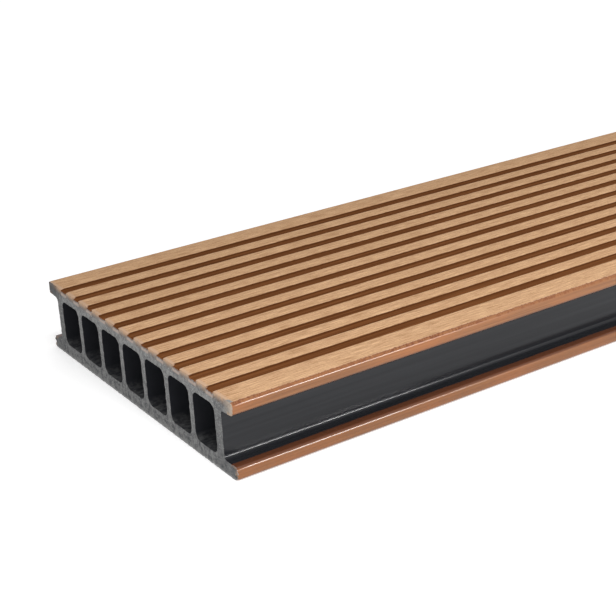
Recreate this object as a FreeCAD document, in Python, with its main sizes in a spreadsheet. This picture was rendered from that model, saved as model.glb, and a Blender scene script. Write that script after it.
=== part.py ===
"""A hollow decking board, extruded in one piece and sawn to length.

The board lies flat, walking face up. +X runs along its length, +Y across it
and +Z up. The origin is the middle of the underside. All sizes are in mm.

Across the board, from the outside in: a lip at the top and a foot at the
bottom stand out past the edge web, and the recess between them takes the
fixing clips. Between the two edge webs lie the hollow cells.
"""
import FreeCAD, Part
import math
import os
import Sketcher

NODE = "decking_board"

# alias, value, what it is
SIZES = (
    ("board_length", 2200, "sawn length"),
    ("board_width", 150, "overall width, lip to lip"),
    ("board_height", 30, "underside to walking face"),
    ("recess_depth", 8, "how far the lips and feet stand out past the edge web"),
    ("lip_thickness", 5, "top lip, at its outer face"),
    ("lip_slope", 0.5, "extra thickness of the lip where it meets the web"),
    ("foot_thickness", 5.4, "bottom foot beside the recess"),
    ("roof_thickness", 5.2, "walking face to the top of the cells"),
    ("floor_thickness", 5.4, "underside to the bottom of the cells"),
    ("edge_web", 4.6, "thickness of the two webs beside the recesses"),
    ("inner_web", 3, "thickness of the webs between the cells"),
    ("cell_count", 7, "hollow cells across the board"),
    ("cell_radius", 3, "corner radius of a cell"),
    ("groove_count", 11, "grooves in the walking face"),
    ("groove_width", 5.2, "groove at the walking face"),
    ("groove_depth", 0.8, "groove below the walking face"),
    ("groove_flare", 0.2, "how far each groove wall leans outwards"),
    ("edge_land", 12.65, "plain strip outside the first and last groove"),
    ("nose_radius", 1.5, "rounded outer corners of lips and feet"),
    ("recess_radius", 1.5, "inside corners of the recess, at the web"),
)

# Worked out from the sizes above: alias, formula in the sheet's own names.
DERIVED = (
    ("web_face", "=board_width / 2 - recess_depth"),
    ("cell_width",
     "=(2 * web_face - 2 * edge_web - (cell_count - 1) * inner_web) / cell_count"),
    ("cell_height", "=board_height - roof_thickness - floor_thickness"),
    ("cell_pitch", "=cell_width + inner_web"),
    ("first_cell", "=web_face - edge_web - cell_width / 2"),
    ("first_groove", "=board_width / 2 - edge_land - groove_width / 2"),
    ("groove_pitch", "=2 * first_groove / (groove_count - 1)"),
)


def make_sheet(doc):
    """Put every size in the spreadsheet, one row each."""
    sheet = doc.addObject("Spreadsheet::Sheet", "Sizes")
    rows = [(alias, str(value)) for alias, value, _ in SIZES]
    rows += list(DERIVED)
    for row, (alias, content) in enumerate(rows, start=1):
        sheet.set("A%d" % row, alias)
        sheet.set("B%d" % row, content)
        sheet.setAlias("B%d" % row, alias)
    doc.recompute()
    return sheet


def origin_feature(body, role):
    """One of the body's own origin planes or axes."""
    for feature in body.Origin.OriginFeatures:
        if feature.Role == role:
            return feature
    raise ValueError("no origin feature " + role)


def cross_section_sketch(body, name):
    """A sketch across the board: its x is the board's Y, its y the board's Z."""
    sketch = body.newObject("Sketcher::SketchObject", name)
    sketch.AttachmentSupport = [(origin_feature(body, "YZ_Plane"), "")]
    sketch.MapMode = "FlatFace"
    return sketch


def dimension(sketch, kind, name, formula, *where):
    """A named driving dimension bound to the sheet."""
    value = sketch.evalExpression(formula)
    value = float(getattr(value, "Value", value))
    index = sketch.addConstraint(Sketcher.Constraint(kind, *where, value))
    sketch.renameConstraint(index, name)
    sketch.setExpression("Constraints." + name, formula)


def draw_polygon(sketch, corners):
    """Straight lines through the corners, joined end to end."""
    count = len(corners)
    points = [FreeCAD.Vector(across, up, 0) for across, up in corners]
    for i in range(count):
        line = Part.LineSegment(points[i], points[(i + 1) % count])
        sketch.addGeometry(line, False)
    for i in range(count):
        joint = Sketcher.Constraint("Coincident", i, 2, (i + 1) % count, 1)
        sketch.addConstraint(joint)


def draw_profile(sketch, sheet):
    """The outside of the extrusion, the same on both sides of the middle."""
    half = sheet.board_width / 2
    web = sheet.web_face
    top = sheet.board_height
    lip_edge = top - sheet.lip_thickness
    lip_root = lip_edge - sheet.lip_slope
    foot = sheet.foot_thickness
    right = [(half, 0), (half, foot), (web, foot),
             (web, lip_root), (half, lip_edge), (half, top)]
    left = [(-across, up) for across, up in reversed(right)]
    draw_polygon(sketch, right + left)

    # Line i starts at corner i. Each right-hand corner has its mirror image.
    last = len(right + left) - 1
    for i in range(len(right)):
        mirror = Sketcher.Constraint("Symmetric", i, 1, last - i, 1, -2)
        sketch.addConstraint(mirror)
    for upright in (0, 2, 4):
        sketch.addConstraint(Sketcher.Constraint("Vertical", upright))
    sketch.addConstraint(Sketcher.Constraint("Horizontal", 1))
    sketch.addConstraint(Sketcher.Constraint("PointOnObject", 0, 1, -1))

    middle = (-1, 1)
    dimension(sketch, "DistanceX", "foot_reach", "Sizes.board_width / 2",
              *middle, 0, 1)
    dimension(sketch, "DistanceX", "web_reach", "Sizes.web_face", *middle, 2, 1)
    dimension(sketch, "DistanceX", "lip_reach", "Sizes.board_width / 2",
              *middle, 4, 1)
    dimension(sketch, "DistanceY", "foot_top", "Sizes.foot_thickness",
              *middle, 1, 1)
    dimension(sketch, "DistanceY", "top_face", "Sizes.board_height",
              *middle, 5, 1)
    dimension(sketch, "DistanceY", "lip_face", "Sizes.lip_thickness",
              4, 1, 5, 1)
    dimension(sketch, "DistanceY", "lip_taper", "Sizes.lip_slope", 3, 1, 4, 1)


def arc_between(centre, radius, start_degrees, end_degrees):
    """A counterclockwise arc in the sketch's plane."""
    circle = Part.Circle(FreeCAD.Vector(*centre, 0),
                         FreeCAD.Vector(0, 0, 1), radius)
    return Part.ArcOfCircle(circle, math.radians(start_degrees),
                            math.radians(end_degrees))


def draw_cell(sketch, sheet):
    """The first hollow cell, a rectangle with four rounded corners."""
    radius = sheet.cell_radius
    low = sheet.floor_thickness
    high = low + sheet.cell_height
    left = sheet.first_cell - sheet.cell_width / 2
    right = left + sheet.cell_width
    corners = [(right - radius, low + radius, -90),
               (right - radius, high - radius, 0),
               (left + radius, high - radius, 90),
               (left + radius, low + radius, 180)]
    # Arcs 0 to 3 go round from the lower right; line 4 + i leaves arc i.
    arcs = []
    for across, up, start in corners:
        arc = arc_between((across, up), radius, start, start + 90)
        arcs.append(sketch.addGeometry(arc, False))
    for i in range(4):
        start = sketch.getPoint(arcs[i], 2)
        end = sketch.getPoint(arcs[(i + 1) % 4], 1)
        sketch.addGeometry(Part.LineSegment(start, end), False)
    for i in range(4):
        line = 4 + i
        leaves = Sketcher.Constraint("Tangent", i, 2, line, 1)
        enters = Sketcher.Constraint("Tangent", line, 2, (i + 1) % 4, 1)
        direction = "Vertical" if i % 2 == 0 else "Horizontal"
        sketch.addConstraint(leaves)
        sketch.addConstraint(enters)
        sketch.addConstraint(Sketcher.Constraint(direction, line))
    for i in range(1, 4):
        sketch.addConstraint(Sketcher.Constraint("Equal", 0, i))

    middle = (-1, 1)
    dimension(sketch, "Radius", "corner", "Sizes.cell_radius", 0)
    dimension(sketch, "DistanceX", "width", "Sizes.cell_width", 6, 1, 4, 1)
    dimension(sketch, "DistanceY", "height", "Sizes.cell_height", 7, 1, 5, 1)
    dimension(sketch, "DistanceX", "offset",
              "Sizes.first_cell + Sizes.cell_width / 2", *middle, 4, 1)
    dimension(sketch, "DistanceY", "floor", "Sizes.floor_thickness",
              *middle, 7, 2)


def draw_groove(sketch, sheet):
    """The first groove: flared walls down to a flat bottom."""
    top = sheet.board_height
    low = top - sheet.groove_depth
    middle_of_groove = sheet.first_groove
    mouth = sheet.groove_width / 2
    bottom = mouth - sheet.groove_flare
    # The cutting shape rises above the face by the groove's own depth, with
    # upright sides, so that the groove is open at the top.
    over = top + sheet.groove_depth
    corners = [(middle_of_groove - bottom, low),
               (middle_of_groove + bottom, low),
               (middle_of_groove + mouth, top),
               (middle_of_groove + mouth, over),
               (middle_of_groove - mouth, over),
               (middle_of_groove - mouth, top)]
    draw_polygon(sketch, corners)
    for level in (0, 3):
        sketch.addConstraint(Sketcher.Constraint("Horizontal", level))
    for upright in (2, 4):
        sketch.addConstraint(Sketcher.Constraint("Vertical", upright))

    middle = (-1, 1)
    dimension(sketch, "DistanceX", "left_wall",
              "Sizes.first_groove - Sizes.groove_width / 2", *middle, 5, 1)
    dimension(sketch, "DistanceX", "mouth", "Sizes.groove_width", 5, 1, 2, 1)
    dimension(sketch, "DistanceX", "left_flare", "Sizes.groove_flare",
              5, 1, 0, 1)
    dimension(sketch, "DistanceX", "right_flare", "Sizes.groove_flare",
              1, 1, 2, 1)
    dimension(sketch, "DistanceY", "left_edge", "Sizes.board_height",
              *middle, 5, 1)
    dimension(sketch, "DistanceY", "right_edge", "Sizes.board_height",
              *middle, 2, 1)
    dimension(sketch, "DistanceY", "depth", "Sizes.groove_depth", 0, 1, 5, 1)
    dimension(sketch, "DistanceY", "clearance", "Sizes.groove_depth",
              2, 1, 3, 1)


def long_edges(feature, places):
    """Names of the edges along the board that pass through the places."""
    names = []
    for number, edge in enumerate(feature.Shape.Edges, start=1):
        centre = edge.CenterOfMass
        for across, up in places:
            near_across = abs(abs(centre.y) - across) < 0.01
            near_up = abs(centre.z - up) < 0.01
            if near_across and near_up and abs(centre.x) < 0.01:
                names.append("Edge%d" % number)
    return names


def round_edges(body, name, base, places, formula):
    """A fillet on the long edges through the places, left and right."""
    names = long_edges(base, places)
    if len(names) != 2 * len(places):
        raise ValueError("%s found %d edges" % (name, len(names)))
    fillet = body.newObject("PartDesign::Fillet", name)
    fillet.Base = (base, names)
    fillet.setExpression("Radius", formula)
    fillet.Document.recompute()
    return fillet


def cut_row(body, name, draw, sheet, count, pitch):
    """One channel cut right through, repeated across the board."""
    before = body.Tip.Shape.Volume
    sketch = cross_section_sketch(body, name + "Sketch")
    draw(sketch, sheet)
    pocket = body.newObject("PartDesign::Pocket", name + "Pocket")
    pocket.Profile = sketch
    pocket.Type = "ThroughAll"
    pocket.Midplane = True
    body.Document.recompute()
    if not pocket.Shape.Volume < before:
        raise ValueError(name + " cuts nothing")

    row = body.newObject("PartDesign::LinearPattern", name + "Row")
    row.Originals = [pocket]
    row.Direction = (origin_feature(body, "Y_Axis"), [""])
    row.Reversed = True
    row.setExpression("Length", "(%s - 1) * %s" % (count, pitch))
    row.setExpression("Occurrences", count)
    body.Tip = row
    body.Document.recompute()
    return row


def make_board(doc, sheet):
    """The whole board: profile, rounded edges, cells, then grooves."""
    body = doc.addObject("PartDesign::Body", "DeckingBoard")
    body.Label = NODE
    body.Placement = FreeCAD.Placement()

    outline = cross_section_sketch(body, "ProfileSketch")
    draw_profile(outline, sheet)
    pad = body.newObject("PartDesign::Pad", "Profile")
    pad.Profile = outline
    pad.Midplane = True
    pad.setExpression("Length", "Sizes.board_length")
    doc.recompute()

    half = sheet.board_width / 2
    top = sheet.board_height
    lip_edge = top - sheet.lip_thickness
    noses = [(half, 0), (half, sheet.foot_thickness),
             (half, lip_edge), (half, top)]
    rounded = round_edges(body, "NoseRounding", pad, noses,
                          "Sizes.nose_radius")
    roots = [(sheet.web_face, sheet.foot_thickness),
             (sheet.web_face, lip_edge - sheet.lip_slope)]
    round_edges(body, "RecessRounding", rounded, roots,
                "Sizes.recess_radius")

    cut_row(body, "Cell", draw_cell, sheet,
            "Sizes.cell_count", "Sizes.cell_pitch")
    cut_row(body, "Groove", draw_groove, sheet,
            "Sizes.groove_count", "Sizes.groove_pitch")
    return body


def check_document(doc):
    """Stop if any feature failed to rebuild."""
    for thing in doc.Objects:
        if "Invalid" in thing.State or "Error" in thing.State:
            raise ValueError("%s did not rebuild" % thing.Name)


def write_node(body):
    """Write the finished solid under its node's name."""
    shape = body.Shape
    if shape.isNull() or not shape.isValid() or len(shape.Solids) != 1:
        raise ValueError(body.Label + " is not one valid solid")
    os.makedirs("parts", exist_ok=True)
    shape.exportStep("parts/%s.step" % body.Label)


doc = FreeCAD.newDocument("DeckingBoard")
sheet = make_sheet(doc)
board = make_board(doc, sheet)
doc.recompute()
check_document(doc)
write_node(board)
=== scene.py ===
"""The looks of a hollow composite decking board, lying face up on a pale floor.

Lengths are in metres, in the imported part's frame: +X along the board, +Y across
it, +Z up, with the origin in the middle of the underside.
"""
import math
import random

import bpy
from mathutils import Matrix, Vector, noise
from mathutils.geometry import delaunay_2d_cdt


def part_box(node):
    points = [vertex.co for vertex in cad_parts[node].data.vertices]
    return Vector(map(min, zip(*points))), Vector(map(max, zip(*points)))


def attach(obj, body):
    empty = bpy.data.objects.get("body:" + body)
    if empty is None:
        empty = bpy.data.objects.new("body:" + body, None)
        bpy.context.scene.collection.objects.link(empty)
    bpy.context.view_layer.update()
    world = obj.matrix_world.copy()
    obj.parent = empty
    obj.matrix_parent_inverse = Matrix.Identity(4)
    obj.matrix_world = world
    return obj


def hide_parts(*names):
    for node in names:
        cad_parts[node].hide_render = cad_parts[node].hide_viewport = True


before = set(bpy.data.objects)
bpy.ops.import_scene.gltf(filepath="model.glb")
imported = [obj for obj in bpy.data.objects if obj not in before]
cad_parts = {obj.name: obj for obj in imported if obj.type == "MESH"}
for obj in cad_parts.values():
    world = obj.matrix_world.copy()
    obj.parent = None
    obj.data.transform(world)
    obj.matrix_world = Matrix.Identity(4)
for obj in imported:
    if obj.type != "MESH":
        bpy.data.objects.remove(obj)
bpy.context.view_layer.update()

MM = 0.001
NODE = "decking_board"

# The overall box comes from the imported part.
LOW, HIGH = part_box(NODE)
HALF_LENGTH = (HIGH[0] - LOW[0]) / 2
HALF_WIDTH = (HIGH[1] - LOW[1]) / 2
HEIGHT = HIGH[2] - LOW[2]

# The section, as the part has it.
RECESS_DEPTH = 8 * MM
LIP = 5 * MM
LIP_SLOPE = 0.5 * MM
FOOT = 5.4 * MM
ROOF = 5.2 * MM
FLOOR = 5.4 * MM
EDGE_WEB = 4.6 * MM
INNER_WEB = 3 * MM
CELLS = 7
CELL_RADIUS = 3 * MM
GROOVES = 11
GROOVE_WIDTH = 5.2 * MM
GROOVE_DEPTH = 0.8 * MM
GROOVE_FLARE = 0.2 * MM
EDGE_LAND = 12.65 * MM
NOSE_RADIUS = 1.5 * MM
RECESS_RADIUS = 1.5 * MM

# Small roundings that the die and the brushes leave, and the angle between the
# points of every arc.
MOUTH_RADIUS = 0.22 * MM
BOTTOM_RADIUS = 0.3 * MM
ARC_STEP = math.radians(15)

# The brown cap wraps the board except for the recesses and the cells.
CAP_THICKNESS = 1.0 * MM
CAP_WRAP = 3.4 * MM

# Places across and up the section that both shapes and colours use.
WEB_FACE = HALF_WIDTH - RECESS_DEPTH
WRAP_END = HALF_WIDTH - CAP_WRAP
LAND_END = HALF_WIDTH - NOSE_RADIUS
LIP_EDGE = HEIGHT - LIP

# The chips along the sawn edge: how far they reach in, how much farther back,
# and the share of them that the recesses and the underside get.
CHIP_DEPTH = 0.25 * MM
CHIP_BACK = 1.6
RECESS_CHIPS = 0.2
UNDERSIDE_CHIPS = 0.4

# The sawn face: how deep the saw's marks go, how far apart the points lie on it
# and along its edges, and the seed of their random places.
SAWN_RELIEF = 0.25 * MM
SAWN_STEP = 0.9 * MM
EDGE_STEP = 0.6 * MM
SEED = 31

# How far from each end plane the neck and the collar start.
NECK_START = 6 * MM
COLLAR_START = 1.6 * MM

# The noise behind chips and marks: its waves for each millimetre, a shift that
# makes the two ends differ, and what turns its level into a chip.
CHIP_WAVES = 0.9
CHIP_SHIFT = 5.0
CHIP_BIAS = 0.25
CHIP_PEAK = 0.6
MARK_WAVES = 0.55
MARK_SHIFT = 9.0
MARK_FADE = 0.6
MARK_FINER = 2.2
MARK_LAYERS = 4

# Faces that meet at more than this angle keep a sharp edge between them.
SHARP_ANGLE = math.radians(32)

# The board's materials, in the order of its slots.
EDGE, TOP, CORE, SAWN, SAWN_CAP = range(5)


def srgb(red, green, blue):
    """A colour written as 0 to 255, as the linear colour that shaders take."""
    def linear(level):
        share = level / 255
        if share <= 0.04045:
            return share / 12.92
        return ((share + 0.055) / 1.055) ** 2.4
    return (linear(red), linear(green), linear(blue), 1)


# The section

def groove_middles():
    """Where the grooves run, from the front edge to the rear."""
    first = HALF_WIDTH - EDGE_LAND - GROOVE_WIDTH / 2
    pitch = 2 * first / (GROOVES - 1)
    return [-first + i * pitch for i in range(GROOVES)]


def rear_corners():
    """The sharp corners of the rear side: (across, up), rounding, material after it."""
    lip_root = LIP_EDGE - LIP_SLOPE
    lip_wrap = LIP_EDGE - LIP_SLOPE * CAP_WRAP / RECESS_DEPTH
    return [((HALF_WIDTH, 0), NOSE_RADIUS, EDGE),
            ((HALF_WIDTH, FOOT), NOSE_RADIUS, EDGE),
            ((WRAP_END, FOOT), 0, CORE),
            ((WEB_FACE, FOOT), RECESS_RADIUS, CORE),
            ((WEB_FACE, lip_root), RECESS_RADIUS, CORE),
            ((WRAP_END, lip_wrap), 0, EDGE),
            ((HALF_WIDTH, LIP_EDGE), NOSE_RADIUS, EDGE),
            ((HALF_WIDTH, HEIGHT), NOSE_RADIUS, TOP)]


def groove_corners():
    """The sharp corners of the grooves, from the rear edge to the front."""
    half = GROOVE_WIDTH / 2
    low = HEIGHT - GROOVE_DEPTH
    corners = []
    for middle in reversed(groove_middles()):
        corners += [((middle + half, HEIGHT), MOUTH_RADIUS, TOP),
                    ((middle + half - GROOVE_FLARE, low), BOTTOM_RADIUS, TOP),
                    ((middle - half + GROOVE_FLARE, low), BOTTOM_RADIUS, TOP),
                    ((middle - half, HEIGHT), MOUTH_RADIUS, TOP)]
    return corners


def outline_corners():
    """The sharp corners all round the outside."""
    rear = rear_corners()
    front = []
    for i in range(len(rear) - 1, -1, -1):
        (across, up), radius, _ = rear[i]
        # A segment's material belongs to the corner before it, which on this
        # side is the mirror image of the corner after it. The last segment is
        # the underside.
        material = rear[i - 1][2] if i > 0 else EDGE
        front.append(((-across, up), radius, material))
    return rear + groove_corners() + front


def round_corner(before, corner, after, radius):
    """The points of the arc that rounds one corner, or the corner itself."""
    if radius == 0:
        return [corner.copy()]
    to_before = (before - corner).normalized()
    to_after = (after - corner).normalized()
    opening = to_before.angle(to_after)
    reach = radius / math.tan(opening / 2)
    middle = (to_before + to_after).normalized()
    centre = corner + middle * radius / math.sin(opening / 2)
    start = corner + to_before * reach - centre
    goal = corner + to_after * reach - centre
    turn = math.copysign(math.pi - opening, start.cross(goal))
    steps = max(2, math.ceil(abs(turn) / ARC_STEP))
    points = []
    for i in range(steps + 1):
        angle = turn * i / steps
        points.append(centre + Matrix.Rotation(angle, 2) @ start)
    return points


def rounded_loop(corners):
    """Points round a closed outline, and the material of the side after each."""
    places = [Vector(place) for place, _, _ in corners]
    points, materials = [], []
    count = len(corners)
    for i, (_, radius, material) in enumerate(corners):
        before, after = places[i - 1], places[(i + 1) % count]
        arc = round_corner(before, places[i], after, radius)
        points += arc
        # The arc between an edge face and the top belongs to the edge.
        arc_material = min(corners[i - 1][2], material)
        materials += [arc_material] * (len(arc) - 1) + [material]
    return points, materials


def cell_loops():
    """The outlines of the hollow cells."""
    width = (2 * WEB_FACE - 2 * EDGE_WEB - (CELLS - 1) * INNER_WEB) / CELLS
    high = HEIGHT - ROOF
    loops = []
    for i in range(CELLS):
        left = -WEB_FACE + EDGE_WEB + i * (width + INNER_WEB)
        right = left + width
        corners = [((right, FLOOR), CELL_RADIUS, CORE),
                   ((right, high), CELL_RADIUS, CORE),
                   ((left, high), CELL_RADIUS, CORE),
                   ((left, FLOOR), CELL_RADIUS, CORE)]
        loops.append(rounded_loop(corners)[0])
    return loops


def cap_corners(corners):
    """The sharp outline moved in by the cap round the lips and feet.

    Only there does the cut show the cap as a band of its own.
    """
    places = [Vector(place) for place, _, _ in corners]
    count = len(places)
    slack = 0.01 * MM
    straight = 0.01

    def shift(start):
        a, b = places[start], places[(start + 1) % count]
        outside = min(abs(a.x), abs(b.x)) > WRAP_END - slack
        return CAP_THICKNESS if outside and a.x * b.x > 0 else 0

    moved = []
    for i in range(count):
        before = places[i] - places[i - 1]
        after = places[(i + 1) % count] - places[i]
        inward_before = Vector((-before.y, before.x)).normalized()
        inward_after = Vector((-after.y, after.x)).normalized()
        start = places[i] + inward_before * shift((i - 1) % count)
        goal = places[i] + inward_after * shift(i)
        cross = before.normalized().cross(after.normalized())
        if abs(cross) < straight:
            moved += [start, goal]
            continue
        along = (goal - start).cross(after) / before.cross(after)
        moved.append(start + before * along)
    return moved


def spaced(points, step):
    """The loop with its long sides divided, as one list of points for each side."""
    sides = []
    count = len(points)
    for i in range(count):
        a, b = points[i], points[(i + 1) % count]
        parts = max(1, round((b - a).length / step))
        sides.append([a.lerp(b, j / parts) for j in range(parts)])
    return sides


def inside(point, polygon):
    """True if the point lies within the polygon."""
    hit = False
    count = len(polygon)
    for i in range(count):
        a, b = polygon[i], polygon[(i + 1) % count]
        if (a.y > point.y) != (b.y > point.y):
            cut = a.x + (point.y - a.y) / (b.y - a.y) * (b.x - a.x)
            if point.x < cut:
                hit = not hit
    return hit


def in_section(point, outline, cells):
    """True if the point lies in the section's material."""
    return inside(point, outline) and not any(inside(point, cell) for cell in cells)


# The board

class Mesh:
    """Vertices and faces under construction."""
    def __init__(self):
        self.points, self.faces, self.materials = [], [], []

    def add_points(self, points):
        """New vertices; gives back their indices."""
        first = len(self.points)
        self.points += points
        return list(range(first, first + len(points)))

    def add_face(self, corners, material, forwards=True):
        """One face, its corners listed backwards if it has to face the other way."""
        self.faces.append(corners if forwards else corners[::-1])
        self.materials.append(material)


def saw_mark(sign, across, up):
    """How far the sawn face lies below the end plane at a place."""
    place = Vector((across / MM * MARK_WAVES, up / MM * MARK_WAVES,
                    sign * MARK_SHIFT))
    rough = noise.fractal(place, MARK_FADE, MARK_FINER, MARK_LAYERS)
    return SAWN_RELIEF * (0.5 + 0.5 * max(-1, min(1, rough)))


def chipped_end(sign, point, inward):
    """A point of the outline at the end plane, chipped in and back a little."""
    place = Vector((point.x / MM * CHIP_WAVES, point.y / MM * CHIP_WAVES,
                    sign * CHIP_SHIFT))
    chip = max(0, noise.noise(place) + CHIP_BIAS) * CHIP_DEPTH / CHIP_PEAK
    slack = 0.1 * MM
    if FOOT - slack < point.y < LIP_EDGE + slack:
        chip *= RECESS_CHIPS
    elif point.y < slack:
        chip *= UNDERSIDE_CHIPS
    moved = point + inward * chip
    back = saw_mark(sign, point.x, point.y) + CHIP_BACK * chip
    return Vector((sign * (HALF_LENGTH - back), moved.x, moved.y))


def cell_end(sign, point, inward):
    """A point of a cell's outline at the end plane, which has no chips."""
    back = saw_mark(sign, point.x, point.y)
    return Vector((sign * (HALF_LENGTH - back), point.x, point.y))


def add_end_ring(mesh, sign, points, end):
    """The closely spaced outline at one end plane, each point placed by `end`."""
    placed = []
    count = len(points)
    for i, point in enumerate(points):
        run = (points[(i + 1) % count] - points[i - 1]).normalized()
        inward = Vector((-run.y, run.x))
        placed.append(end(sign, point, inward))
    return mesh.add_points(placed)


def add_shaft(mesh, loop, materials, end, solid_inside):
    """One closed outline run along the board. Gives back its two end rings.

    The long run has one face for each side. Near each end a short neck leads
    to a collar, which carries the closer points that the chipped edge needs.
    The neck keeps the collar's slant out of the long run's shading.
    """
    sides = spaced(loop, EDGE_STEP)
    close = [point for side in sides for point in side]
    close_materials = [material for side, material in zip(sides, materials)
                       for _ in side]
    total = len(close)

    def add_ring(reach, points):
        return mesh.add_points([Vector((reach, p.x, p.y)) for p in points])

    run, inner, outer = {}, {}, {}
    for sign in (-1, 1):
        run[sign] = add_ring(sign * (HALF_LENGTH - NECK_START), loop)
        inner[sign] = add_ring(sign * (HALF_LENGTH - COLLAR_START), close)
        outer[sign] = add_end_ring(mesh, sign, close, end)
    forwards = {-1: not solid_inside, 1: solid_inside}

    for i, material in enumerate(close_materials):  # the collars
        j = (i + 1) % total
        for sign in (-1, 1):
            corners = [inner[sign][i], outer[sign][i],
                       outer[sign][j], inner[sign][j]]
            mesh.add_face(corners, material, forwards[sign])
    first = 0
    for k, side in enumerate(sides):  # the long run, then the necks
        j = (k + 1) % len(sides)
        corners = [run[-1][j], run[-1][k], run[1][k], run[1][j]]
        mesh.add_face(corners, materials[k], solid_inside)
        for sign in (-1, 1):
            row = [inner[sign][(first + n) % total]
                   for n in range(len(side) + 1)]
            corners = [run[sign][j], run[sign][k]] + row
            mesh.add_face(corners, materials[k], forwards[sign])
        first += len(side)
    return outer


def scattered(sign, outline, cells):
    """Points strewn over the sawn face, one in each square of a grid."""
    draw = random.Random(SEED + sign)
    columns = int(2 * HALF_WIDTH / SAWN_STEP)
    rows = int(HEIGHT / SAWN_STEP)
    points = []
    for column in range(columns):
        for row in range(rows):
            across = -HALF_WIDTH + (column + draw.random()) * SAWN_STEP
            up = (row + draw.random()) * SAWN_STEP
            point = Vector((across, up))
            if in_section(point, outline, cells):
                points.append(point)
    return points


def add_sawn_face(mesh, sign, rings, cap_line):
    """The sawn end: triangles between the outline, the cap's line and the cells."""
    known = [index for ring in rings for index in ring]
    loops = [[mesh.points[index].yz for index in ring] for ring in rings]
    outline, cells = loops[0], loops[1:]
    close_line = [point for side in spaced(cap_line, EDGE_STEP) for point in side]
    flat, edges = [], []
    for loop in loops + [close_line]:
        first, count = len(flat), len(loop)
        flat += loop
        edges += [(first + i, first + (i + 1) % count) for i in range(count)]
    flat += scattered(sign, outline, cells)

    inside_edges, tolerance = 1, 1e-7
    made, _, triangles, origins, _, _ = delaunay_2d_cdt(
        flat, edges, [], inside_edges, tolerance)
    indices = []
    for (across, up), sources in zip(made, origins):
        old = [source for source in sources if source < len(known)]
        if old:
            indices.append(known[old[0]])
            continue
        reach = HALF_LENGTH - saw_mark(sign, across, up)
        indices += mesh.add_points([Vector((sign * reach, across, up))])
    for triangle in triangles:
        middle = sum((made[i] for i in triangle), Vector((0, 0))) / 3
        if not in_section(middle, outline, cells):
            continue
        capped = abs(middle.x) > WRAP_END and not inside(middle, cap_line)
        corners = [indices[i] for i in triangle]
        mesh.add_face(corners, SAWN_CAP if capped else SAWN, sign > 0)


def make_board(materials):
    """The whole board as one closed mesh."""
    mesh = Mesh()
    corners = outline_corners()
    outline, outline_materials = rounded_loop(corners)
    shafts = [add_shaft(mesh, outline, outline_materials, chipped_end, True)]
    for loop in cell_loops():
        shafts.append(add_shaft(mesh, loop, [CORE] * len(loop), cell_end, False))
    cap_line = cap_corners(corners)
    for sign in (-1, 1):
        add_sawn_face(mesh, sign, [shaft[sign] for shaft in shafts], cap_line)

    data = bpy.data.meshes.new("board")
    data.from_pydata(mesh.points, [], mesh.faces)
    for material in materials:
        data.materials.append(material)
    data.polygons.foreach_set("material_index", mesh.materials)
    data.shade_smooth()
    data.set_sharp_from_angle(angle=SHARP_ANGLE)
    data.validate()
    board = bpy.data.objects.new("board", data)
    bpy.context.scene.collection.objects.link(board)
    return board


# The materials

class Nodes:
    """A node tree under construction, with short calls for its nodes."""
    def __init__(self, tree):
        self.tree = tree

    def node(self, kind, inputs=(), **settings):
        made = self.tree.nodes.new(kind)
        for name, value in settings.items():
            setattr(made, name, value)
        for name, value in dict(inputs).items():
            self.feed(made.inputs[name], value)
        return made

    def feed(self, socket, value):
        """Links the socket to another one, or sets it to a plain value."""
        if isinstance(value, bpy.types.NodeSocket):
            self.tree.links.new(value, socket)
        else:
            socket.default_value = value

    def math(self, operation, a, b=0.0, c=0.0):
        return self.node("ShaderNodeMath", {0: a, 1: b, 2: c},
                         operation=operation).outputs[0]

    def times(self, value, *others):
        """All the values multiplied together."""
        for other in others:
            value = self.math("MULTIPLY", value, other)
        return value

    def uneven(self, value, pattern, amount):
        """The value, raised by up to this amount where the pattern is high."""
        return self.math("MULTIPLY_ADD", pattern, amount, value)

    def ramp(self, value, low, high, to_low=0.0, to_high=1.0):
        """The value, spread from low..high to to_low..to_high and kept there."""
        return self.node("ShaderNodeMapRange",
                         {"Value": value, "From Min": low, "From Max": high,
                          "To Min": to_low, "To Max": to_high}).outputs[0]

    def band(self, value, middle, outer, inner, strength=1.0):
        """The strength within `inner` of the middle, and 0 farther off than `outer`."""
        off = self.math("ABSOLUTE", self.math("SUBTRACT", value, middle))
        return self.ramp(off, outer, inner, 0, strength)

    def seen(self):
        """1 for the rays that show a thing: straight on, mirrored or through glass."""
        rays = self.node("ShaderNodeLightPath").outputs
        mirrored = self.math("MAXIMUM", rays["Is Camera Ray"],
                             rays["Is Glossy Ray"])
        return self.math("MAXIMUM", mirrored, rays["Is Transmission Ray"])


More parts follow.
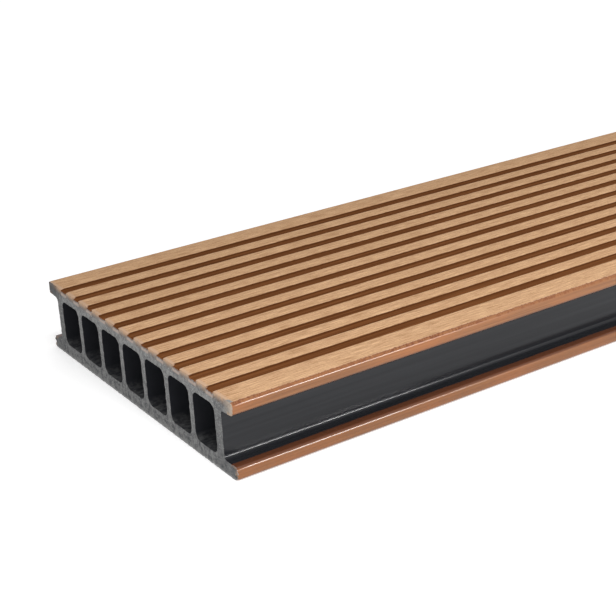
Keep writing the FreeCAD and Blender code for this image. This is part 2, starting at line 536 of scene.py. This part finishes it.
class Shader(Nodes):
    """A material under construction."""
    def __init__(self, name):
        self.material = bpy.data.materials.new(name)
        self.material.use_nodes = True
        super().__init__(self.material.node_tree)
        self.surface = self.tree.nodes["Principled BSDF"]
        coordinates = self.node("ShaderNodeTexCoord").outputs
        self.place = coordinates["Object"]
        self.facing = coordinates["Normal"]

    def set(self, name, value):
        """Links or sets one input of the surface."""
        self.feed(self.surface.inputs[name], value)

    def axes(self, vector):
        """A vector's parts along, across and up."""
        parts = self.node("ShaderNodeSeparateXYZ", {0: vector}).outputs
        return parts[0], parts[1], parts[2]

    def noise(self, along, across, up, detail=3.0, roughness=0.5):
        """Noise with so many waves a metre each way, from about 0.2 to 0.8."""
        place = self.node("ShaderNodeMapping",
                          {"Vector": self.place,
                           "Scale": (along, across, up)}).outputs[0]
        return self.node("ShaderNodeTexNoise",
                         {"Vector": place, "Scale": 1.0, "Detail": detail,
                          "Roughness": roughness}).outputs["Fac"]

    def mix(self, factor, a, b):
        """Colour a where the factor is 0, and colour b where it is 1."""
        made = self.node("ShaderNodeMix", data_type="RGBA")
        self.feed(made.inputs[0], factor)
        self.feed(made.inputs[6], a)
        self.feed(made.inputs[7], b)
        return made.outputs[2]

    def bump(self, height, distance, strength):
        """A normal that shows the height, where 1 stands for this distance."""
        return self.node("ShaderNodeBump",
                         {"Height": height, "Distance": distance,
                          "Strength": strength}).outputs[0]


# The colours of the brushed cap, its skin, the grooves, the core and the cut.
SANDED = srgb(214, 176, 138)
SANDED_DARK = srgb(149, 109, 75)
EDGE_SKIN = srgb(138, 91, 53)
EDGE_SKIN_DARK = srgb(106, 65, 34)
EDGE_BLOTCH = srgb(152, 90, 45)
NOSE_SKIN = srgb(136, 88, 52)
NOSE_TICK = srgb(108, 58, 30)
# Painted shade: the dark brown of the foot tops under the lips, also used for the cap's
# feather into the recesses.
SHADED_RECESS_BROWN = srgb(86, 49, 30)
# Painted shade: the underside and lower rounding of each lip.
LIP_UNDER_SHADE = srgb(70, 42, 28)
RIM = srgb(186, 155, 129)
GROOVE_SKIN = srgb(116, 71, 39)
GROOVE_SKIN_DARK = srgb(79, 45, 21)
GROOVE_STREAK = srgb(138, 92, 55)
# Painted shade: the walls of the grooves.
GROOVE_WALL_SHADE = srgb(80, 46, 23)
CHARCOAL = srgb(28, 29, 32)
CHARCOAL_WORN = srgb(38, 39, 42)
# Painted light: a lighter charcoal for the cells than for the recesses.
CELL_LIT_CHARCOAL = srgb(43, 44, 48)
CUT_GREY = srgb(130, 130, 129)
CUT_DARK = srgb(58, 59, 61)
CUT_LIGHT = srgb(172, 172, 171)
CUT_CAP = srgb(190, 153, 118)
CUT_STAIN = srgb(100, 70, 45)
CUT_RIM = srgb(180, 160, 146)
GROOVE_END = srgb(118, 86, 66)
CUT_RUBBED = srgb(196, 180, 162)

# How each surface takes the light: the cap's skin, the cap that brush or saw has
# worn, the core from its smoothest to its roughest, and the cut.
SKIN_ROUGHNESS = 0.2
SKIN_SPECULAR = 0.4
WORN_ROUGHNESS = 0.8
WORN_SPECULAR = 0.02
CORE_ROUGHNESS = 0.14, 0.19
CORE_SPECULAR = 0.21
CUT_ROUGHNESS = 0.85


def land_mask(s, y, blur):
    """1 on the lands, 0 over the grooves, with so much blur between them."""
    middles = groove_middles()
    half_pitch = (middles[1] - middles[0]) / 2
    off_groove = s.math("PINGPONG", s.math("SUBTRACT", y, middles[0]), half_pitch)
    land = s.ramp(off_groove, GROOVE_WIDTH / 2 - blur, GROOVE_WIDTH / 2 + blur)
    edge_land = s.math("GREATER_THAN", s.math("ABSOLUTE", y),
                       HALF_WIDTH - EDGE_LAND)
    return s.math("MAXIMUM", land, edge_land)


def edge_mask(s, y, z):
    """1 on the noses, lips, feet and underside, 0 among the grooves."""
    return s.math("MAXIMUM",
                  s.math("GREATER_THAN", s.math("ABSOLUTE", y),
                         HALF_WIDTH - EDGE_LAND / 2),
                  s.math("LESS_THAN", z, HEIGHT / 2))


def brushed_mask(s, y, z):
    """1 where brushes took the skin off: on the lands, up to a frayed line."""
    wander = s.noise(420, 900, 900, detail=4, roughness=0.7)
    high = s.ramp(s.uneven(z, wander, 0.3 * MM),
                  HEIGHT - 0.04 * MM, HEIGHT + 0.12 * MM)
    fray = s.noise(650, 260, 260, detail=4, roughness=0.7)
    past = s.ramp(s.uneven(s.math("ABSOLUTE", y), fray, 1.8 * MM),
                  LAND_END + 0.85 * MM, LAND_END + 1.2 * MM)
    return s.times(high, s.math("SUBTRACT", 1.0, past))


def sanded_colour(s, scratches, specks, mottle):
    """Short fine scratches in the brushed cap, over slow changes of tone."""
    colour = s.mix(s.ramp(scratches, 0.34, 0.6), SANDED_DARK, SANDED)
    colour = s.mix(s.ramp(specks, 0.52, 0.72, 0, 0.5), colour, SANDED_DARK)
    return s.mix(s.ramp(mottle, 0.3, 0.7, 0, 0.22), colour, SANDED_DARK)


def edge_colour(s, z, drag, mottle):
    """The skin of the noses, lips and feet, with the die's lengthwise drag lines, and
    painted shade on the foot tops and under the lips.
    """
    colour = s.mix(s.ramp(drag, 0.3, 0.7), EDGE_SKIN_DARK, EDGE_SKIN)
    colour = s.mix(s.ramp(mottle, 0.42, 0.62, 0, 0.45), colour, EDGE_BLOTCH)
    colour = s.mix(s.ramp(z, LIP_EDGE, FOOT, 0, 0.4), colour, EDGE_SKIN_DARK)
    # Painted shade on the top of each foot and its upper rounding.
    colour = s.mix(s.band(z, FOOT, 0.9 * MM, 0.4 * MM), colour, SHADED_RECESS_BROWN)

    # The brushes touch the top of each nose in short dark ticks.
    nose = s.ramp(z, HEIGHT - 1.1 * MM, HEIGHT - 0.7 * MM)
    colour = s.mix(nose, colour, NOSE_SKIN)
    ticks = s.noise(900, 500, 500, detail=5, roughness=0.75)
    ticked = s.times(s.ramp(ticks, 0.46, 0.56), s.ramp(mottle, 0.38, 0.56, 0.5, 1))
    colour = s.mix(s.times(nose, ticked), colour, NOSE_TICK)
    # Painted shade along the underside and lower rounding of each lip.
    return s.mix(s.band(z, LIP_EDGE, 1.4 * MM, 0.3 * MM), colour, LIP_UNDER_SHADE)


def groove_colour(s, drag):
    """The streaky skin of the grooves, with painted shade on their walls."""
    colour = s.mix(s.ramp(drag, 0.3, 0.62), GROOVE_SKIN_DARK, GROOVE_SKIN)
    colour = s.mix(s.ramp(drag, 0.6, 0.8, 0, 0.7), colour, GROOVE_STREAK)
    _, sideways, _ = s.axes(s.facing)
    # Painted shade on the walls, which face across the board.
    wall = s.ramp(s.math("ABSOLUTE", sideways), 0.3, 0.8)
    return s.mix(wall, colour, GROOVE_WALL_SHADE)


def saw_wear(s, x, y, z, on_edge):
    """Two masks: where the saw cut wore the cap pale, and where it tore it off.

    The lands are worn to a pale rim. The cap is torn here and there, and most
    of all at the front corner.
    """
    wear = s.noise(500, 700, 700, detail=4, roughness=0.7)
    along = s.math("ABSOLUTE", x)
    on_land = s.times(
        land_mask(s, y, 0.1 * MM),
        s.ramp(s.math("ABSOLUTE", y), LAND_END, LAND_END + 0.3 * MM, 1, 0),
        s.ramp(z, HEIGHT - 1.2 * MM, HEIGHT - 0.8 * MM))
    rim = s.ramp(s.uneven(along, wear, 1.6 * MM),
                 HALF_LENGTH - 1.0 * MM, HALF_LENGTH - 0.3 * MM)
    reach = s.uneven(along, wear, 3.0 * MM)
    corner = s.ramp(y, 6 * MM - HALF_WIDTH, 3 * MM - HALF_WIDTH, 0, 1.5 * MM)
    torn_top = s.ramp(s.math("ADD", reach, corner),
                      HALF_LENGTH + 1.5 * MM, HALF_LENGTH + 1.9 * MM)
    torn_edge = s.ramp(reach, HALF_LENGTH + 1.1 * MM, HALF_LENGTH + 1.5 * MM)
    torn = s.math("MAXIMUM", s.times(on_land, torn_top),
                  s.times(on_edge, torn_edge))
    return s.times(on_land, rim), torn


def make_cap(name, glossy):
    """The brown cap: pale where brushes took its skin off, darker elsewhere.

    Only the edges that neither brush nor saw has touched keep their gloss.
    """
    s = Shader(name)
    x, y, z = s.axes(s.place)
    scratches = s.noise(110, 2600, 2600, detail=5, roughness=0.7)
    specks = s.noise(900, 1500, 1500, roughness=0.6)
    mottle = s.noise(30, 90, 90, detail=4, roughness=0.6)
    drag = s.noise(16, 1300, 1300, detail=4, roughness=0.65)
    on_edge = edge_mask(s, y, z)
    brushed = brushed_mask(s, y, z)
    rim, torn = saw_wear(s, x, y, z, on_edge)

    skin = s.mix(on_edge, groove_colour(s, drag), edge_colour(s, z, drag, mottle))
    colour = s.mix(brushed, skin, sanded_colour(s, scratches, specks, mottle))
    colour = s.mix(rim, colour, RIM)
    s.set("Base Color", s.mix(torn, colour, CUT_GREY))

    grain = s.math("ADD", scratches, s.times(specks, 0.5))
    height = s.mix(brushed, drag, grain)
    if glossy:
        dulled = s.math("MAXIMUM", brushed, torn)
        s.set("Roughness", s.ramp(dulled, 0, 1, SKIN_ROUGHNESS, WORN_ROUGHNESS))
        s.set("Specular IOR Level", SKIN_SPECULAR)
        s.set("Normal", s.bump(height, distance=0.03 * MM, strength=0.18))
    else:
        s.set("Roughness", WORN_ROUGHNESS)
        s.set("Specular IOR Level", WORN_SPECULAR)
        s.set("Normal", s.bump(height, distance=0.06 * MM, strength=0.6))
    return s.material


def dust_mask(s, x, z, in_cells):
    """How thickly saw dust lies on the floor of each cell, just inside the cut."""
    inward = s.ramp(s.math("ABSOLUTE", x), HALF_LENGTH - 14 * MM, HALF_LENGTH)
    low = s.ramp(z, FLOOR + 2.5 * MM, FLOOR + 0.3 * MM)
    motes = s.noise(300, 500, 500, detail=4, roughness=0.7)
    return s.times(inward, low, in_cells, s.ramp(motes, 0.4, 0.65, 0.05, 0.4))


def make_core():
    """The charcoal core's own skin in the recesses and cells, rather glossy."""
    s = Shader("core")
    x, y, z = s.axes(s.place)
    out = s.math("ABSOLUTE", y)
    drag = s.noise(8, 420, 420)
    colour = s.mix(s.ramp(drag, 0.4, 0.75), CHARCOAL, CHARCOAL_WORN)

    # The brown cap feathers out a little way over it, in the dark brown that paints
    # shade on the foot tops.
    feather = s.noise(60, 500, 500)
    browned = s.ramp(s.uneven(out, feather, 1.4 * MM),
                     WRAP_END + 0.1 * MM, WRAP_END + 0.9 * MM)
    colour = s.mix(browned, colour, SHADED_RECESS_BROWN)

    in_cells = s.math("LESS_THAN", out, WEB_FACE - EDGE_WEB / 2)
    # Painted light: the cells take a lighter charcoal than the recesses.
    colour = s.mix(in_cells, colour, CELL_LIT_CHARCOAL)
    s.set("Base Color", s.mix(dust_mask(s, x, z, in_cells), colour, CUT_GREY))
    s.set("Roughness", s.ramp(drag, 0.3, 0.7, *CORE_ROUGHNESS))
    s.set("Specular IOR Level", CORE_SPECULAR)
    s.set("Normal", s.bump(drag, distance=0.006 * MM, strength=0.2))
    return s.material


def torn_grain(s, base, y, z, coarse, fine):
    """The plain cut: dark pits and light fibres.

    It is darker at the edge webs, and towards the bottom.
    """
    pits = s.times(s.ramp(coarse, 0.58, 0.38),
                   s.ramp(z, FLOOR + 3 * MM, FLOOR - MM, 0.65, 1))
    colour = s.mix(pits, base, CUT_DARK)
    cells_end = WEB_FACE - EDGE_WEB
    beyond_cells = s.ramp(s.math("ABSOLUTE", y),
                          cells_end - MM, cells_end + 0.5 * MM, 0, 0.36)
    colour = s.mix(beyond_cells, colour, CUT_DARK)
    colour = s.mix(s.ramp(fine, 0.54, 0.7), colour, CUT_LIGHT)
    below_roof = s.ramp(z, HEIGHT - ROOF, FLOOR + 3 * MM, 0.05, 0.32)
    return s.mix(below_roof, colour, CUT_DARK)


def drawn_over(s, colour, y, z, coarse):
    """The cut's top edge, where the saw drew the cap down over the grey."""
    on_land = land_mask(s, y, 0.4 * MM)
    in_groove = s.math("SUBTRACT", 1.0, on_land)
    down = s.math("SUBTRACT", HEIGHT, z)

    # Each land leaves a tan smear, weaker at the lips, and a brown stain.
    smear = s.ramp(s.uneven(down, coarse, 3 * MM), 1.6 * MM, 3.7 * MM, 0.9, 0)
    short_of_lips = s.ramp(s.math("ABSOLUTE", y), HALF_WIDTH - 6.5 * MM,
                           HALF_WIDTH - 4.5 * MM, 1, 0.3)
    colour = s.mix(s.times(on_land, smear, short_of_lips), colour, CUT_CAP)
    stain = s.band(down, 1.9 * MM, 1.2 * MM, 0.5 * MM, 0.25)
    colour = s.mix(s.times(stain, on_land), colour, CUT_STAIN)

    # Each groove's brown runs over the edge too, down to a pale rim.
    depth = s.uneven(down, coarse, 1.2 * MM)
    pale = s.band(depth, 2.6 * MM, 0.8 * MM, 0.3 * MM, 0.7)
    colour = s.mix(s.times(pale, in_groove), colour, CUT_RIM)
    drawn = s.ramp(depth, 2.0 * MM, 1.7 * MM, 0, 0.9)
    return s.mix(s.times(drawn, in_groove), colour, GROOVE_END)


def rubbed_and_shaded(s, colour, y, z, coarse):
    """The front lip rubbed paler, painted shade on the rear one, the lowest edge pale.
    """
    lips = s.ramp(z, LIP_EDGE - MM, LIP_EDGE + MM)
    at_front = s.ramp(y, 6 * MM - HALF_WIDTH, 1 * MM - HALF_WIDTH, 0, 0.6)
    rubbed = s.times(lips, at_front, s.ramp(coarse, 0.35, 0.55, 0.4, 1))
    colour = s.mix(rubbed, colour, CUT_RUBBED)
    # Painted shade on the rear lip.
    at_rear = s.ramp(y, HALF_WIDTH - 10 * MM, HALF_WIDTH - 7 * MM, 0, 0.68)
    colour = s.mix(s.times(lips, at_rear), colour, CUT_DARK)
    return s.mix(s.ramp(z, 1.2 * MM, 0.5 * MM, 0, 0.45), colour, CUT_LIGHT)


def make_sawn(name, base):
    """The saw cut through the composite."""
    s = Shader(name)
    _, y, z = s.axes(s.place)
    coarse = s.noise(420, 420, 420, detail=5, roughness=0.65)
    fine = s.noise(1600, 1600, 1600, detail=4, roughness=0.7)
    colour = torn_grain(s, base, y, z, coarse, fine)
    colour = drawn_over(s, colour, y, z, coarse)
    s.set("Base Color", rubbed_and_shaded(s, colour, y, z, coarse))
    s.set("Roughness", CUT_ROUGHNESS)
    height = s.math("ADD", coarse, s.times(fine, 0.5))
    s.set("Normal", s.bump(height, distance=0.25 * MM, strength=0.7))
    return s.material


# The stage

# How bright the world is as a light, and what the floor adds to what is seen.
SKY = 0.77
FLOOR_GLOW = 0.3
FLOOR_SIZE = 60
FLOOR_PAINT = (0.96, 0.96, 0.96, 1)
FLOOR_ROUGHNESS = 0.9
WHITE = (1, 1, 1, 1)

# The camera as the photograph gives it, from the middle of the near sawn end.
NEAR_END = Vector((-HALF_LENGTH, 0, 0))
CAMERA_PLACE = Vector((-203.4, -443.7, 237.3)) * MM
CAMERA_HEADING = math.radians(57.36)
CAMERA_DIP = math.radians(22.49)
CAMERA_ROLL = math.radians(3.2)
CAMERA_LENS = 81.4
CAMERA_NEAR, CAMERA_FAR = 0.01, 50


def make_floor():
    """A wide pale floor that keeps the board's soft shadow."""
    bpy.ops.mesh.primitive_plane_add(size=FLOOR_SIZE, location=(0, 0, 0))
    floor = bpy.context.object
    floor.name = "floor"
    s = Shader("floor")
    s.set("Base Color", FLOOR_PAINT)
    s.set("Roughness", FLOOR_ROUGHNESS)
    s.set("Emission Color", WHITE)
    s.set("Emission Strength", s.ramp(s.seen(), 0, 1, 0, FLOOR_GLOW))
    floor.data.materials.append(s.material)


def make_world():
    """Even pale light from all round, and a white background."""
    world = bpy.data.worlds.new("studio")
    bpy.context.scene.world = world
    world.use_nodes = True
    n = Nodes(world.node_tree)
    background = n.tree.nodes["Background"]
    n.feed(background.inputs["Color"], WHITE)
    n.feed(background.inputs["Strength"], n.ramp(n.seen(), 0, 1, SKY, 1))


def add_lamp(name, place, target, size, power, spread=180):
    """A soft lamp that faces its target, both given from the near sawn end."""
    light = bpy.data.lights.new(name, "AREA")
    light.shape = "RECTANGLE"
    light.size, light.size_y = size
    light.energy = power
    light.spread = math.radians(spread)
    lamp = bpy.data.objects.new(name, light)
    place, target = NEAR_END + Vector(place), NEAR_END + Vector(target)
    lamp.location = place
    lamp.rotation_euler = (target - place).to_track_quat("-Z", "Y").to_euler()
    bpy.context.scene.collection.objects.link(lamp)


def make_lamps():
    """A long lamp over the front edge, a fill for the sawn end, and a low strip.

    The long lamp has a grid, so its light falls off towards the rear edge. The
    strip gives the noses and the recess roots their thin bright lines.
    """
    add_lamp("key", place=(HALF_LENGTH, -0.35, 0.8),
             target=(HALF_LENGTH, -0.13, 0.03),
             size=(2.8, 0.12), power=1.16, spread=32)
    add_lamp("fill", place=(-1.0, -0.1, 0.3), target=(0, 0, 0.015),
             size=(0.4, 0.4), power=0.65)
    add_lamp("strip", place=(0.8, -1.5, 0.33), target=(0.1, 0, 0),
             size=(0.4, 0.07), power=17)


def make_camera():
    """The camera, turned by its heading, then its dip, then its roll."""
    data = bpy.data.cameras.new("camera")
    data.lens = CAMERA_LENS
    data.clip_start, data.clip_end = CAMERA_NEAR, CAMERA_FAR
    camera = bpy.data.objects.new("camera", data)
    bpy.context.scene.collection.objects.link(camera)
    forward = Vector((math.cos(CAMERA_DIP) * math.cos(CAMERA_HEADING),
                      math.cos(CAMERA_DIP) * math.sin(CAMERA_HEADING),
                      -math.sin(CAMERA_DIP)))
    level = forward.cross(Vector((0, 0, 1))).normalized()
    right = Matrix.Rotation(CAMERA_ROLL, 3, forward) @ level
    up = right.cross(forward)
    turn = Matrix((right, up, -forward)).transposed()
    place = NEAR_END + CAMERA_PLACE
    camera.matrix_world = Matrix.Translation(place) @ turn.to_4x4()
    bpy.context.scene.camera = camera


board = make_board([make_cap("cap_edge", True), make_cap("cap_top", False),
                    make_core(), make_sawn("sawn", CUT_GREY),
                    make_sawn("sawn_cap", CUT_CAP)])
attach(board, "root")
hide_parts(NODE)

make_floor()
make_world()
make_lamps()
make_camera()
bpy.context.scene.view_settings.view_transform = "Standard"
